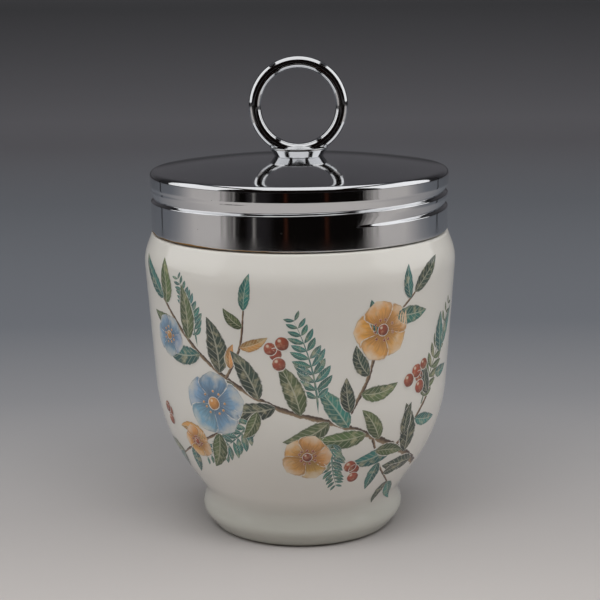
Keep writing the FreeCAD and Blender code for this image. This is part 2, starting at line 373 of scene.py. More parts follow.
def glazed_porcelain(cup):
    """Hard-paste porcelain, cast and fired under a clear glaze: a warm white body with a sharp
    glassy shine, slightly uneven in tone, and matt biscuit on the ring that it was fired on."""
    material, tree, place = material_tree("glazed_porcelain")
    height = add(tree, "SeparateXYZ", place).outputs["Z"]
    grain = add(tree, "TexNoise", place, 1.0 / (0.35 * MM), 2.0)
    edge = add(tree, "Math", grain, 0.3 * MM, height, operation="MULTIPLY_ADD")
    bare = add(tree, "MapRange", edge, 0.35 * MM, 0.6 * MM, 1.0, 0.0)
    clay = add(tree, "Mix", grain, times(cup.bare_clay, 0.8, 0.8, 0.8), cup.bare_clay,
               data_type="RGBA")
    tone = add(tree, "Mix", bare, porcelain_tone(tree, place, cup), clay, data_type="RGBA")
    rough = add(tree, "MapRange", {"Value": bare, "To Min": cup.glaze_roughness, "To Max": 0.75})
    add(tree, "OutputMaterial", add(tree, "BsdfPrincipled", {
        "Base Color": tone, "Roughness": rough, "IOR": 1.5, "Normal": glaze_bump(tree, place)}))
    return material


def fired_print(tree, cup, place, ink, margin, inner, outer):
    """Ceramic colours fired in under the glaze: ink up to a margin that fades from inner to
    outer, the porcelain's own white past it, and one unbroken shine over both."""
    tone = washed(tree, porcelain_tone(tree, place, cup), ink, margin, inner, outer, 0.95, 0.0)
    add(tree, "OutputMaterial", add(tree, "BsdfPrincipled", {
        "Base Color": tone, "Roughness": cup.glaze_roughness, "IOR": 1.5,
        "Normal": glaze_bump(tree, place)}))


def across_film(tree):
    """Place along a film, 0 to 1, place across it, -1 to 1, and its ink."""
    along, across, _ = add(tree, "SeparateXYZ", add(tree, "UVMap")).outputs
    across = add(tree, "Math", across, 2.0, -1.0, operation="MULTIPLY_ADD")
    return along, across, add(tree, "Attribute", attribute_name="tint")


def printed_leaf(cup):
    """Printed leaf: one half shaded, pale midrib and side veins, a wash of uneven colour and
    a soft margin, as brushwork looks after it is reduced to a transfer print."""
    material, tree, place = material_tree("printed_leaf")
    along, across, tint = across_film(tree)
    side = add(tree, "Math", across, operation="ABSOLUTE")
    wash = add(tree, "TexNoise", place, 1.0 / (1.7 * MM), 4.0)
    half = add(tree, "Math", wash, 0.5, across, operation="MULTIPLY_ADD")
    shade, base, rim = (
        add(tree, "VectorMath", tint, dark, operation="MULTIPLY")
        for dark in ((0.42, 0.48, 0.50), (0.4, 0.42, 0.42), (0.35, 0.36, 0.36)))
    ink = washed(tree, tint, shade, half, 0.1, 0.4, 0.0, 0.8)
    ink = washed(tree, ink, srgb("#D9CFA6"), wash, 0.52, 0.72, 0.0, 0.55)
    ink = washed(tree, ink, base, along, 0.0, 0.3, 0.5, 0.0)
    eight_veins = add(tree, "Math", along, 8.0, operation="MULTIPLY")
    slanted = add(tree, "Math", side, -1.7, eight_veins, operation="MULTIPLY_ADD")
    phase = add(tree, "Math", slanted, operation="FRACT")
    off_vein = add(tree, "Math", phase, 0.5, operation="SUBTRACT")
    off_vein = add(tree, "Math", off_vein, operation="ABSOLUTE")
    vein = add(tree, "MapRange", off_vein, 0.02, 0.13, 0.6, 0.0)
    rib = add(tree, "MapRange", side, 0.03, 0.1, 0.85, 0.0)
    lines = add(tree, "Math", vein, rib, operation="MAXIMUM")
    pale = add(tree, "Mix", 0.55, tint, srgb("#E6E0C8"), data_type="RGBA")
    ink = add(tree, "Mix", lines, ink, pale, data_type="RGBA")
    ragged = add(tree, "TexNoise", place, 1.0 / (0.8 * MM), 3.0)
    margin = add(tree, "Math", ragged, 0.35, side, operation="MULTIPLY_ADD")
    ink = washed(tree, ink, rim, margin, 0.8, 0.98, 0.0, 0.45)
    fired_print(tree, cup, place, ink, margin, 1.02, 1.14)
    return material


def printed_petal(cup):
    """Printed petal: streaked from a deep base to a pale tip, with a soft margin."""
    material, tree, place = material_tree("printed_petal")
    along, across, tint = across_film(tree)
    side = add(tree, "Math", across, operation="ABSOLUTE")
    fan = add(tree, "VectorMath", add(tree, "CombineXYZ", along, across), (1.2, 5.0, 0.0), place,
              operation="MULTIPLY_ADD")
    streak = add(tree, "TexNoise", fan, 1.6, 3.0)
    wash = add(tree, "TexNoise", place, 1.0 / (2.2 * MM), 3.0)
    deep, rim = (add(tree, "VectorMath", tint, dark, operation="MULTIPLY")
                 for dark in ((0.42, 0.36, 0.36), (0.5, 0.46, 0.45)))
    streaked = add(tree, "Math", streak, 0.9, along, operation="MULTIPLY_ADD")
    ink = washed(tree, tint, deep, streaked, 0.55, 1.15, 0.95, 0.0)
    tip = add(tree, "Math", along, wash, operation="ADD")
    ink = washed(tree, ink, srgb("#EFE6D2"), tip, 1.05, 1.5, 0.0, 0.7)
    ragged = add(tree, "TexNoise", place, 1.0 / (0.9 * MM), 3.0)
    margin = add(tree, "Math", ragged, 0.3, side, operation="MULTIPLY_ADD")
    ink = washed(tree, ink, rim, margin, 0.9, 1.03, 0.0, 0.5)
    fired_print(tree, cup, place, ink, margin, 1.05, 1.15)
    return material


def printed_berry(cup):
    """Printed berry: a round wash, dark at one side, with a small light spot."""
    material, tree, place = material_tree("printed_berry")
    along, across, tint = across_film(tree)
    along = add(tree, "Math", along, 2.0, -1.0, operation="MULTIPLY_ADD")
    spot = add(tree, "CombineXYZ", along, across)
    off_shade, off_light, off_middle = (
        add(tree, "VectorMath", spot, point, operation="DISTANCE")
        for point in ((-0.3, 0.35, 0.0), (-0.35, 0.4, 0.0), (0.0, 0.0, 0.0)))
    wash = add(tree, "TexNoise", place, 1.0 / (0.9 * MM), 3.0)
    dark = add(tree, "VectorMath", tint, (0.3, 0.26, 0.28), operation="MULTIPLY")
    ink = washed(tree, tint, dark, off_shade, 0.5, 1.35, 0.0, 0.85)
    ink = washed(tree, ink, srgb("#E8C9A0"), wash, 0.5, 0.7, 0.0, 0.3)
    ink = washed(tree, ink, srgb("#F2E7D0"), off_light, 0.1, 0.3, 0.75, 0.0)
    margin = add(tree, "Math", wash, 0.14, off_middle, operation="MULTIPLY_ADD")
    fired_print(tree, cup, place, ink, margin, 0.92, 1.02)
    return material


def printed_twig(cup):
    """Printed twig: broken brown brush lines, light above and dark below."""
    material, tree, place = material_tree("printed_twig")
    along, across, tint = across_film(tree)
    bark = add(tree, "TexNoise", place, 1.0 / (0.7 * MM), 4.0)
    dark = add(tree, "VectorMath", tint, (0.45, 0.42, 0.42), operation="MULTIPLY")
    light = add(tree, "Mix", 0.5, tint, srgb("#C9AE86"), data_type="RGBA")
    upward = add(tree, "Math", bark, 1.2, across, operation="MULTIPLY_ADD")
    ink = washed(tree, dark, light, upward, 0.2, 1.1, 0.0, 0.75)
    side = add(tree, "Math", across, operation="ABSOLUTE")
    margin = add(tree, "Math", bark, 0.9, side, operation="MULTIPLY_ADD")
    fired_print(tree, cup, place, ink, margin, 1.2, 1.45)
    return material


def plated_brass(name, lid, worn_rim):
    """Bright chrome over nickel on pressed brass: a mirror with a cold tint, drawn-out polishing
    lines up the skirt, a few specks, and brass showing where the rim has been handled."""
    material, tree, place = material_tree(name)
    drawn = add(tree, "Mapping", {"Vector": place, "Scale": (1.0, 1.0, 0.03)})
    lines = add(tree, "TexNoise", drawn, 1.0 / (0.7 * MM), 3.0)
    dents = add(tree, "TexNoise", place, 1.0 / (9.0 * MM), 1.0)
    specks = add(tree, "TexVoronoi", place, 1.0 / (3.5 * MM))
    speck = add(tree, "MapRange", specks, 0.025, 0.04, 1.0, 0.0)
    rough = add(tree, "MapRange", lines, 0.35, 0.75, lid.polish, lid.polish * 2.4)
    rough = add(tree, "Math", speck, 0.25, rough, operation="MULTIPLY_ADD")
    dulled = add(tree, "Math", speck, 0.5, operation="MULTIPLY")
    tint = add(tree, "Mix", dulled, lid.chrome, srgb("#8C8578"), data_type="RGBA")
    if worn_rim:
        # fingers have dulled the rim, and worn it through in patches, more at the front left
        x, _, height = add(tree, "SeparateXYZ", place).outputs
        streaky = add(tree, "Math", lines, 1.6 * MM, height, operation="MULTIPLY_ADD")
        handled = add(tree, "MapRange", streaky, (RIM_Z + 0.8) * MM, (RIM_Z + 4.2) * MM, 0.13, 0.0)
        patch = add(tree, "TexNoise", place, 1.0 / (7.0 * MM), 4.0)
        patch = add(tree, "Math", x, -10.0, patch, operation="MULTIPLY_ADD")
        line = add(tree, "Math", patch, 0.9 * MM, (RIM_Z - 0.42) * MM, operation="MULTIPLY_ADD")
        above = add(tree, "Math", height, line, operation="SUBTRACT")
        worn = add(tree, "MapRange", above, -0.05 * MM, 0.12 * MM, 1.0, 0.0)
        tint = add(tree, "Mix", worn, tint, lid.brass, data_type="RGBA")
        rough = add(tree, "Math", rough, handled, operation="ADD")
        rough = add(tree, "Math", worn, 0.3, rough, operation="MULTIPLY_ADD")
    swell = add(tree, "Bump", {"Height": dents, "Strength": 1.0, "Distance": 0.02 * MM})
    add(tree, "OutputMaterial", add(tree, "BsdfPrincipled", {
        "Base Color": tint, "Metallic": 1.0, "Roughness": rough, "Normal": swell}))
    return material


def moulded_rubber():
    """Moulded seal rubber gone hard with age: matt, buff, slightly mottled."""
    material, tree, place = material_tree("aged_seal_rubber")
    mottle = add(tree, "TexNoise", place, 1.0 / (2.5 * MM), 4.0)
    skin = add(tree, "TexNoise", place, 1.0 / (0.25 * MM), 2.0)
    bump = add(tree, "Bump", {"Height": skin, "Strength": 0.5, "Distance": 0.02 * MM})
    tone = add(tree, "Mix", mottle, srgb("#9A8C72"), srgb("#C4B799"), data_type="RGBA")
    add(tree, "OutputMaterial", add(tree, "BsdfPrincipled", {
        "Base Color": tone, "Roughness": 0.62, "IOR": 1.52, "Normal": bump}))
    return material


def bare_brass(lid):
    """Turned brass, unplated and tarnished: brown-gold with turning rings and dull patches."""
    material, tree, place = material_tree("turned_brass")
    rings = add(tree, "TexWave", place, 1.0 / (2.2 * MM), 0.4, wave_type="RINGS",
                rings_direction="Z").outputs["Fac"]
    tarnish = add(tree, "TexNoise", place, 1.0 / (2.0 * MM), 4.0)
    tone = add(tree, "Mix", tarnish, times(lid.brass, 0.55, 0.55, 0.55), lid.brass,
               data_type="RGBA")
    bump = add(tree, "Bump", {"Height": rings, "Strength": 0.4, "Distance": 0.01 * MM})
    add(tree, "OutputMaterial", add(tree, "BsdfPrincipled", {
        "Base Color": tone, "Metallic": 1.0, "Roughness": 0.34, "Normal": bump}))
    return material


# Screw thread

def nearest_turn(degrees, z, thread, fade_deg):
    """Height above the nearest turn of a thread, and how full the thread is there, 0 to 1."""
    start_deg, start_z, turns = thread
    run = (degrees - start_deg) % 360.0
    nearest, fullness = 99.0, 0.0  # where no turn passes
    while run <= 360.0 * turns:
        away = z - start_z - PITCH * run / 360.0
        if abs(away) < abs(nearest):
            nearest = away
            fullness = smooth(0.0, fade_deg, min(run, 360.0 * turns - run))
        run += 360.0
    return nearest, fullness


def softened(value, round_over):
    """0 where value is well below 0, value where it is well above, rounded over in between."""
    return 0.5 * (value + math.sqrt(value * value + round_over * round_over))


def moved_radially(obj, shift):
    """Moves each vertex along its radius by shift(degrees, r, z), in millimetres."""
    for vertex in obj.data.vertices:
        x, y, z = vertex.co / MM
        r = math.hypot(x, y)
        change = shift(math.degrees(math.atan2(y, x)), r, z)
        if change:
            vertex.co.x *= (r + change) / r
            vertex.co.y *= (r + change) / r
    obj.data.update()


# Cup, lid, ring and washers

class CODDLER_OT_cup(bpy.types.Operator):
    """Spins the porcelain cup and raises the screw ridge on its neck"""
    bl_idname = "coddler.cup"
    bl_label = "Porcelain cup"
    bl_options = {"REGISTER", "UNDO"}

    def execute(self, context):
        settings = context.scene.coddler_cup
        low, high = RIDGE_SPAN
        fine_from = low + 3.0      # rows lie close from here up, where the ridge is raised
        ledge = (LEDGE_R, SHOULDER_Z, 0)
        outline = rounded_line(FOOT_HOLLOW, 1.5)
        for corners, step in (
                (CUP_SIDE + [ledge], 0.8),
                ([ledge, (NECK_R, SHOULDER_Z, 0.45), (NECK_R, fine_from, 0)], 0.3),
                ([(NECK_R, fine_from, 0), (NECK_R, NECK_TOP, 1.2), (LIP_R, NECK_TOP, 0)], 0.14),
                (CUP_INSIDE, 1.3)):
            outline += rounded_line(corners, step)[1:]
        cup = spun("porcelain_cup_glazed", outline, 288)
        ridge = settings.ridge_height / MM

        def raised(degrees, r, z):
            if not (low < z < high and r > NECK_R - 0.5):
                return 0.0
            away, fullness = nearest_turn(degrees, z, RIDGE_START, 36.0)
            flank = (RIDGE_FOOT - abs(away)) / RIDGE_FLANK
            if flank <= -0.5:
                return 0.0
            return ridge * fullness * min(1.0, softened(min(flank, 1.05), 0.08))

        moved_radially(cup, raised)
        dressed(cup, "cup", glazed_porcelain(settings), "porcelain", "porcelain_cup")
        return {"FINISHED"}


class CODDLER_OT_lid(bpy.types.Operator):
    """Spins the pressed lid from its sheet's section and rolls the thread into its skirt"""
    bl_idname = "coddler.lid"
    bl_label = "Screw lid"
    bl_options = {"REGISTER", "UNDO"}

    def execute(self, context):
        settings = context.scene.coddler_lid
        edge_r, edge_z = EDGE_CENTRE
        ball_z, ball_r = CROWN_BALL
        half_sheet = SHEET / 2
        fine_from = 72.4           # rows lie close from here up, where the thread is rolled in
        hole_r = RIVET_R + 0.03
        lean = math.degrees(math.atan2(edge_z - ball_z, edge_r))
        outline = arc((SKIRT_R - half_sheet, RIM_Z + half_sheet), half_sheet, 180, 360, 0.1)
        for inset, rows in ((0.0, 0.085), (SHEET, 0.18)):
            skirt, band = SKIRT_R - inset, BAND_R - inset
            plain = [(skirt, RIM_Z + half_sheet, 0), (skirt, fine_from, 0)]
            rolled = [(skirt, fine_from, 0), (skirt, SWELL[0], 0.8 + inset),
                      (band, SWELL[1], 0.8 - inset), (band, edge_z, 0)]
            skin = rounded_line(plain, 0.5) + rounded_line(rolled, rows)[1:]
            skin += arc(EDGE_CENTRE, EDGE_ROUND - inset, 0, lean, 0.1)[1:]
            hole = math.degrees(math.acos(hole_r / (ball_r - inset)))
            skin += arc((0.0, ball_z), ball_r - inset, lean, hole, 1.6)[1:]
            outline += skin[:0:-1] if inset else skin[1:]
        lid = spun("screw_lid_plated", outline, 384, closed=True)
        depth = settings.groove_depth / MM
        half_width = settings.groove_half_width / MM

        def rolled_in(degrees, r, z):
            if not (GROOVE_SPAN[0] < z < GROOVE_SPAN[1] and r > SKIRT_R - 1.0):
                return 0.0
            away, fullness = nearest_turn(degrees, z, GROOVE_START, 30.0)
            # a long flank runs down and in from above, a short one runs out again below
            above = (1.35 * half_width - away) / (1.8 * half_width)
            below = (away + half_width) / (0.5 * half_width)
            deep = depth * fullness * min(softened(min(above, 1.0), 0.05),
                                          softened(min(below, 1.2), 0.08))
            return -deep if -1.6 < away < 2.0 and deep > 0.004 else 0.0

        moved_radially(lid, rolled_in)
        plating = plated_brass("chrome_plated_skirt", settings, worn_rim=True)
        dressed(lid, "lid", plating, "plated_lid", "lid_shell")
        return {"FINISHED"}


class CODDLER_OT_ring(bpy.types.Operator):
    """Makes the lifting ring and the riveted boss that it is brazed to"""
    bl_idname = "coddler.ring"
    bl_label = "Ring and boss"
    bl_options = {"REGISTER", "UNDO"}

    def execute(self, context):
        lid, ring = context.scene.coddler_lid, context.scene.coddler_ring
        plating = plated_brass("chrome_plated_ring", lid, worn_rim=False)
        deselect()
        bpy.ops.mesh.primitive_torus_add(
            major_segments=200, minor_segments=44, major_radius=ring.mean_radius,
            minor_radius=ring.wire_radius, location=(0, 0, ring.centre_height),
            rotation=(math.pi / 2, 0, 0))
        wire = named("lifting_ring_plated")
        bpy.ops.object.transform_apply(location=True, rotation=True, scale=True)
        bpy.ops.object.shade_smooth()
        for vertex in wire.data.vertices:
            # hand polishing leaves the wire a hair uneven along its length
            middle = Vector((vertex.co.x, 0.0, vertex.co.z - ring.centre_height)).normalized()
            middle = middle * ring.mean_radius + Vector((0.0, 0.0, ring.centre_height))
            uneven = 0.008 * noise.noise(middle / (4.0 * MM)) - 0.004
            vertex.co = middle + (vertex.co - middle) * (1.0 + uneven)
        dressed(wire, "lid", plating, "plated_ring", "lifting_ring")

        ball_z, ball_r = CROWN_BALL
        overlap = 0.02             # the boss goes so far into the crown

        def crown(r, inset=0.0):
            return ball_z + math.sqrt((ball_r - inset) ** 2 - r * r)

        head_z = crown(RIVET_R, SHEET) - 0.8
        flange = rounded_line([
            (0, BOSS_TOP, 0), (FLANGE_R, BOSS_TOP, FLANGE_EDGE),
            (FLANGE_R, BOSS_TOP - FLANGE_THICK, FLANGE_EDGE),
            (SEAT_R, crown(SEAT_R) - overlap, 0)], 0.12)
        dome_r = (HEAD_R ** 2 + HEAD_RISE ** 2) / (2.0 * HEAD_RISE)
        dome_z = head_z - HEAD_RISE + dome_r
        head = arc((0.0, dome_z), dome_r, -math.degrees(math.acos(HEAD_R / dome_r)), -90, 0.3)
        shank = [(RIVET_R, crown(RIVET_R) - overlap), (RIVET_R, head_z)]
        boss = spun("ring_boss_plated", flange + shank + head, 128)
        for vertex in boss.data.vertices:
            # braze metal drawn up 0.5 mm into the corner along the ring's foot
            x, y, z = vertex.co / MM
            if z > BOSS_TOP - 0.05:
                drawn = 0.5 * math.exp(-max(0.0, abs(y) - 0.5) / 0.45)
                vertex.co.z += drawn * (1.0 - smooth(2.6, 5.0, math.hypot(x, y))) * MM
        boss.data.update()
        dressed(boss, "lid", plating, "plated_boss", "ring_boss")
        return {"FINISHED"}


class CODDLER_OT_washers(bpy.types.Operator):
    """Gives the seal and the backing washer their rubber and brass"""
    bl_idname = "coddler.washers"
    bl_label = "Seal and backing washer"
    bl_options = {"REGISTER", "UNDO"}

    def execute(self, context):
        for name, material in (("sealing_washer", moulded_rubber()),
                               ("backing_washer", bare_brass(context.scene.coddler_lid))):
            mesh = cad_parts[name].data
            mesh.materials.clear()
            mesh.materials.append(material)
        return {"FINISHED"}


# Print

SIDE = [point for point in rounded_line(CUP_SIDE[:-1] + [(33.0, SHOULDER_Z, 0)], 0.4)
        if point[1] > 1.0]
SIDE_HEIGHTS = [z for r, z in SIDE]


def side_at(z):
    """Radius of the cup's outside at a height, and how fast it grows with height."""
    i = min(len(SIDE) - 1, max(1, bisect.bisect(SIDE_HEIGHTS, z)))
    (r0, z0), (r1, z1) = SIDE[i - 1], SIDE[i]
    slope = (r1 - r0) / (z1 - z0)
    return r0 + slope * (z - z0), slope


def on_cup(start, across, up, lift):
    """The point that lies so many millimetres across and up from a (degrees, z) start."""
    z = start[1] + up
    r = side_at(z)[0]
    turn = math.radians(start[0]) + across / r
    return Vector(((r + lift) * math.sin(turn), -(r + lift) * math.cos(turn), z)) * MM


def beyond(start, across, up):
    """The (degrees, z) place that lies so many millimetres across and up from another."""
    z = start[1] + up
    return start[0] + math.degrees(across / side_at(z)[0]), z


def template(name, columns, rows):
    """A flat grid, one unit each way, or a round spot where there are no rows. The films of the
    print are copied from it."""
    deselect()
    if rows:
        bpy.ops.mesh.primitive_grid_add(x_subdivisions=columns, y_subdivisions=rows, size=1.0)
    else:
        bpy.ops.mesh.primitive_circle_add(vertices=columns, radius=0.5, fill_type="TRIFAN",
                                          calc_uvs=True)
    return named(name)


def film(pattern, place, tint):
    """A copy of a template, laid on the cup by place(u, v), with its colour in an attribute."""
    copy = pattern.copy()
    copy.data = pattern.data.copy()
    bpy.context.collection.objects.link(copy)
    ink = copy.data.color_attributes.new("tint", "FLOAT_COLOR", "POINT")
    for vertex, value in zip(copy.data.vertices, ink.data):
        vertex.co = place(vertex.co.x + 0.5, 2.0 * vertex.co.y)
        value.color = (*tint, 1.0)
    return copy


def blade(pattern, start, heading, reach, width, bend, lift, tint, fullest=0.4):
    """A leaf or petal: a tapering tongue that starts at (degrees, z), bends by so many degrees,
    and is widest at a share of its length."""
    exponent = math.log(0.5) / math.log(fullest)
    steps = 24

    def towards(u):
        return math.radians(heading + bend * (u - 0.35))

    spine = [(0.0, 0.0)]
    for i in range(steps):
        a = towards((i + 0.5) / steps)
        x, y = spine[-1]
        spine.append((x + math.cos(a) * reach / steps, y + math.sin(a) * reach / steps))

    def place(u, v):
        i = min(steps - 1, int(u * steps))
        (x0, y0), (x1, y1) = spine[i:i + 2]
        x, y = x0 + (x1 - x0) * (u * steps - i), y0 + (y1 - y0) * (u * steps - i)
        taper = math.sin(math.pi * min(1.0, max(0.0, u)) ** exponent) ** 0.85
        out = 0.5 * width * max(0.03, taper) * v
        return on_cup(start, x - math.sin(towards(u)) * out, y + math.cos(towards(u)) * out, lift)

    return film(pattern, place, tint)


def dot(pattern, start, across, up, radius, lift, tint):
    """A berry, a bud or the eye of a blossom."""
    def place(u, v):
        return on_cup(start, across + radius * (2.0 * u - 1.0), up + radius * v, lift)

    return film(pattern, place, tint)


def line_through(stops, step):
    """Points, about step apart, on a smooth line through (degrees, z) stops, in millimetres of
    arc and height, from the first of them."""
    flat = [(math.radians(a - stops[0][0]) * side_at(z)[0], z - stops[0][1]) for a, z in stops]
    ends = [flat[0]] + flat + [flat[-1]]
    points = []
    for before, a, b, after in zip(ends, ends[1:], ends[2:], ends[3:]):
        count = max(2, round(math.dist(a, b) / step))
        for i in range(count):
            t = i / count
            points.append(tuple(
                0.5 * (2 * q + (r - p) * t + (2 * p - 5 * q + 4 * r - s) * t * t
                       + (3 * q - p - 3 * r + s) * t ** 3)
                for p, q, r, s in zip(before, a, b, after)))
    return points + [flat[-1]]


def twig(stops, thick, thin, lift, tint):
    """A tapering twig along stops, and the points and headings along it."""
    points = line_through(stops, 0.8)
    headings = [math.atan2(b[1] - a[1], b[0] - a[0]) for a, b in zip(points, points[1:])]
    headings.append(headings[-1])
    last = len(points) - 1

    def place(u, v):
        i = round(u * last)
        knobbly = 1.0 + 0.18 * math.sin(2.1 * i) * math.cos(0.7 * i)
        out = 0.5 * (thick + (thin - thick) * u) * knobbly * v
        (x, y), a = points[i], headings[i]
        return on_cup(stops[0], x - math.sin(a) * out, y + math.cos(a) * out, lift)

    pattern = template("twig_template", last, 2)
    strip = film(pattern, place, tint)
    bpy.data.objects.remove(pattern)
    return strip, points, [math.degrees(h) for h in headings]


def joined(name, films, material):
    """Joins films into one piece whose shading normals are the cup's own."""
    deselect()
    for part in films:
        part.select_set(True)
    bpy.context.view_layer.objects.active = films[0]
    bpy.ops.object.join()
    piece = named(name)
    bpy.ops.object.mode_set(mode="EDIT")
    bpy.ops.mesh.select_all(action="SELECT")
    bpy.ops.mesh.normals_make_consistent(inside=False)
    bpy.ops.object.mode_set(mode="OBJECT")
    bpy.ops.object.shade_smooth()
    inward = [face for face in piece.data.polygons
              if face.normal.dot(Vector((face.center.x, face.center.y, 0.0))) < 0.0]
    for face in inward:
        face.flip()
    normals = []
    for vertex in piece.data.vertices:
        x, y, z = vertex.co / MM
        r = math.hypot(x, y)
        normals.append(Vector((x / r, y / r, -side_at(z)[1])).normalized())
    piece.data.normals_split_custom_set_from_vertices(normals)
    dressed(piece, "cup", material, "porcelain")


class CODDLER_OT_spray(bpy.types.Operator):
    """Prints the sprays: twigs, then leaves, ferns, blossoms and berries over them"""
    bl_idname = "coddler.spray"
    bl_label = "Printed spray"
    bl_options = {"REGISTER", "UNDO"}

    def execute(self, context):
        ink, cup = context.scene.coddler_print, context.scene.coddler_cup
        chance = random.Random(ink.seed)
        between = chance.uniform
        patterns = [template(name, *size) for name, size in (
            ("broad", (14, 6)), ("narrow", (8, 4)), ("petal", (8, 6)), ("round", (28, 0)))]
        broad, narrow, petal, spot = patterns
        parts = {"twigs": [], "leaves": [], "ferns": [], "blossoms": [], "berries": []}

        def varied(tint, amount=0.18):
            k = 1.0 + between(-amount, amount)
            return tuple(min(1.0, c * k * (1.0 + between(-0.08, 0.08))) for c in tint)

        def leafy(stops, thick, thin, tints, lengths, gap, layer=0.0):
            strip, points, headings = twig(stops, thick, thin, LIFT["twig"] + layer,
                                           varied(ink.twig))
            parts["twigs"].append(strip)
            side, travelled, due = 1.0, 0.0, gap * 0.6
            for i in range(1, len(points)):
                travelled += math.dist(points[i - 1], points[i])
                if travelled < due:
                    continue
                due += gap * between(0.8, 1.25)
                reach = between(*lengths)
                parts["leaves"].append(blade(
                    broad, beyond(stops[0], *points[i]), headings[i] + side * between(28, 62),
                    reach, reach * between(0.36, 0.48), -side * between(10, 50),
                    LIFT["leaf"] + layer + 0.01 * (i % 3), varied(chance.choice(tints))))
                side = -side
            reach = lengths[1]
            parts["leaves"].append(blade(
                broad, beyond(stops[0], *points[-1]), headings[-1], reach, reach * 0.36,
                between(-20, 20), LIFT["leaf"] + 0.02 + layer, varied(chance.choice(tints))))

        def fern(start, heading, reach, bend, tint, leaflet):
            parts["ferns"].append(blade(narrow, start, heading + 0.35 * bend, reach, 0.5, bend,
                                        LIFT["twig"], varied(tint), 0.2))
            steps = 24
            x = y = 0.0
            for i in range(steps + 1):
                a = heading + bend * i / steps
                if i >= 4 and i % 2 == 0:
                    size = leaflet * (1.0 - 0.6 * (i / steps) ** 1.6) * min(1.0, (i + 2) / 9.0)
                    for side in (-1.0, 1.0):
                        parts["ferns"].append(blade(
                            narrow, beyond(start, x, y), a + side * between(50, 64),
                            size * between(0.9, 1.1), 0.4 * size, -side * 20.0, LIFT["leaf"],
                            varied(tint), 0.5))
                x += math.cos(math.radians(a)) * reach / steps
                y += math.sin(math.radians(a)) * reach / steps

        def blossom(start, across, tint, eye, turn, petals=5):
            for i in range(petals):
                heading = turn + 360.0 * i / petals + between(-6, 6)
                reach = across / 2 * between(0.92, 1.06)
                parts["blossoms"].append(blade(
                    petal, start, heading, reach, reach * 1.12, between(-14, 14),
                    LIFT["petal"] + 0.01 * (i % 2), varied(tint, 0.12), 0.64))
            parts["berries"].append(dot(spot, start, 0, 0, across * 0.1, LIFT["eye"], varied(eye)))
            for i in range(9):
                a = math.radians(turn + 40 * i + between(-10, 10))
                out = across * between(0.14, 0.19)
                parts["berries"].append(dot(spot, start, out * math.cos(a), out * math.sin(a),
                                            0.3, LIFT["stamen"], varied(eye)))

        def bunch(start, radius, count, tint):
            for i in range(count):
                a = math.radians(137.5 * i + between(-15, 15))
                out = radius * 1.05 * math.sqrt(i)
                parts["berries"].append(dot(
                    spot, start, out * math.cos(a), out * math.sin(a),
                    radius * between(0.85, 1.1), LIFT["berry"] + 0.005 * i, varied(tint)))

        greens = [ink.teal, ink.teal, ink.olive, ink.deep_green]
        warm = [ink.olive, ink.teal, ink.ochre]
        leafy([(62, 17), (40, 24), (15, 31), (-12, 36), (-38, 45), (-58, 56)],
              1.7, 0.7, greens, (8.5, 12.5), 5.2)
        leafy([(15, 31), (24, 40), (30, 50), (44, 58)], 1.1, 0.5, greens, (7.0, 10.5), 5.0, 0.005)
        leafy([(-12, 36), (-28, 30), (-48, 24), (-62, 20)],
              1.1, 0.5, warm, (7.0, 10.5), 4.8, 0.005)
        leafy([(40, 24), (58, 36), (66, 44)], 1.0, 0.5, greens, (6.5, 9.5), 4.8, 0.005)
        leafy([(-28, 41), (-22, 48), (-20, 56)], 0.8, 0.4, warm, (5.5, 8.0), 4.2, 0.005)
        leafy([(28, 27), (34, 20), (46, 14)], 0.8, 0.4, greens, (5.5, 8.0), 4.2, 0.005)
        fern((6, 34), 92, 21, 24, ink.teal, 5.4)
        fern((-16, 34), 236, 19, -30, ink.teal, 5.0)
        fern((50, 30), 70, 26, -18, ink.olive, 5.2)
        fern((-40, 47), 96, 15, 26, ink.teal, 4.4)
        fern((12, 29), 262, 13, 30, ink.teal, 4.2)
        blossom((-34, 35), 15.0, ink.blue, ink.ochre, 14)
        blossom((-56, 48), 10.5, ink.blue, ink.ochre, 50)
        blossom((30, 51), 13.5, ink.ochre, ink.rust, 30)
        blossom((2, 24), 11.0, ink.ochre, ink.rust, 5)
        blossom((-46, 25), 8.0, ink.ochre, ink.rust, 40)
        bunch((49, 39), 1.6, 5, ink.rust)
        bunch((-9, 47), 1.5, 4, ink.rust)
        bunch((22, 20), 1.4, 3, ink.rust)
        bunch((-62, 30), 1.3, 3, ink.rust)

        # the other side of the cup carries a smaller spray, with loose sprigs between the two
        leafy([(212, 24), (194, 31), (176, 37), (154, 48), (146, 56)],
              1.4, 0.6, greens, (7.5, 11.0), 5.4)
        leafy([(184, 34), (180, 44), (190, 54)], 0.9, 0.45, warm, (6.0, 9.0), 4.8, 0.005)
        leafy([(100, 26), (106, 36), (102, 46)], 0.8, 0.4, greens, (5.5, 8.0), 4.8)
        leafy([(254, 50), (262, 42), (258, 32)], 0.8, 0.4, warm, (5.5, 8.0), 4.8)
        fern((170, 36), 262, 16, 24, ink.teal, 4.8)
        fern((200, 30), 118, 17, -24, ink.olive, 4.8)
        blossom((166, 40), 13.0, ink.blue, ink.ochre, 20)
        blossom((190, 54), 10.0, ink.ochre, ink.rust, 48)
        blossom((103, 46), 8.5, ink.ochre, ink.rust, 10)
        blossom((256, 50), 8.5, ink.blue, ink.ochre, 33)
        bunch((206, 33), 1.4, 4, ink.rust)
        bunch((110, 32), 1.3, 3, ink.rust)

        for pattern in patterns:
            bpy.data.objects.remove(pattern)
        leaf = printed_leaf(cup)
        for kind, material in (("twigs", printed_twig(cup)), ("leaves", leaf), ("ferns", leaf),
                               ("blossoms", printed_petal(cup)), ("berries", printed_berry(cup))):
            joined("print_" + kind, parts[kind], material)
        return {"FINISHED"}


# Stage

